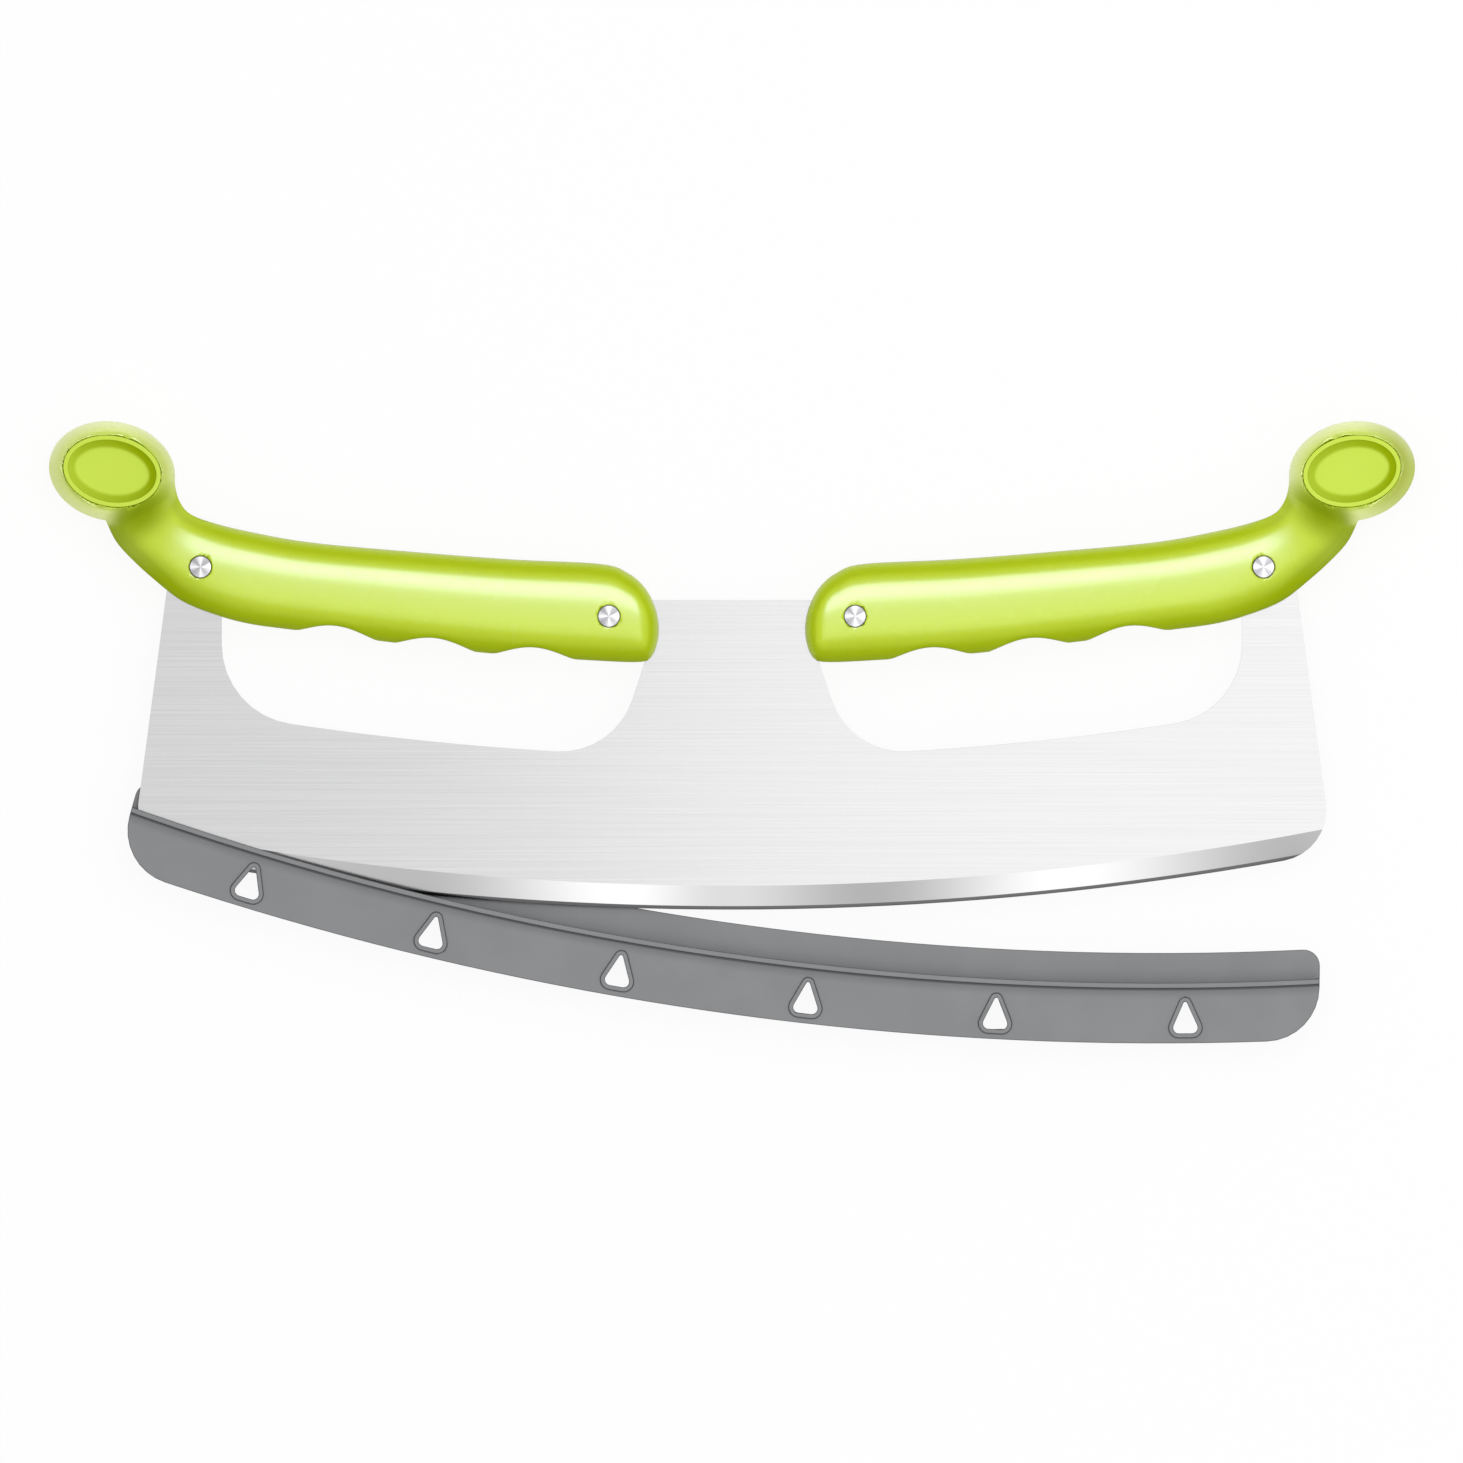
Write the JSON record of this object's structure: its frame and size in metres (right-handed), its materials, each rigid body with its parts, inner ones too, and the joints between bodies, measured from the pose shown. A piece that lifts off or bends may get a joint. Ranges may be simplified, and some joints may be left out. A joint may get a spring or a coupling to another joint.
{
  "type": "pizza rocker knife",
  "caption": "Curved steel rocker blade with riveted finger-groove handles, dished knobs at their ends and a drained edge guard tipped off the edge.",
  "frame": {"origin": "below the middle of the whole object's box, on the plane that the back knob caps rest on", "axes": "+X to the right along the blade, +Y from the cutting edge towards the handles, +Z out of the front face"},
  "size_m": [0.3552, 0.1618, 0.022],
  "materials": {
    "blade_steel": "brushed along the blade, polished bevel",
    "rivet_steel": "spun, with a radial sheen",
    "grip_plastic": "glossy moulded lime green",
    "cap_plastic": "satin moulded lime green",
    "guard_plastic": "satin moulded mid grey"
  },
  "bodies": {
    "knife": {"blade": "blade_steel", "handle_left_front": "grip_plastic", "handle_left_back": "grip_plastic", "handle_right_front": "grip_plastic", "handle_right_back": "grip_plastic", "knob_cap_left_front": "cap_plastic", "knob_cap_left_back": "cap_plastic", "knob_cap_right_front": "cap_plastic", "knob_cap_right_back": "cap_plastic", "rivet_pin_left_outer": "rivet_steel", "rivet_pin_left_inner": "rivet_steel", "rivet_pin_right_outer": "rivet_steel", "rivet_pin_right_inner": "rivet_steel", "rivet_sleeve_left_outer": "rivet_steel", "rivet_sleeve_left_inner": "rivet_steel", "rivet_sleeve_right_outer": "rivet_steel", "rivet_sleeve_right_inner": "rivet_steel"},
    "guard": {"blade_guard": "guard_plastic"}
  },
  "joints": [
    {"name": "guard_tip", "type": "hinge", "parent": "knife", "child": "guard", "pos_m": [-0.17114, -0.01692, 0], "axis": [0, 0, 1], "range_deg": [-25, 8.22]}
  ]
}
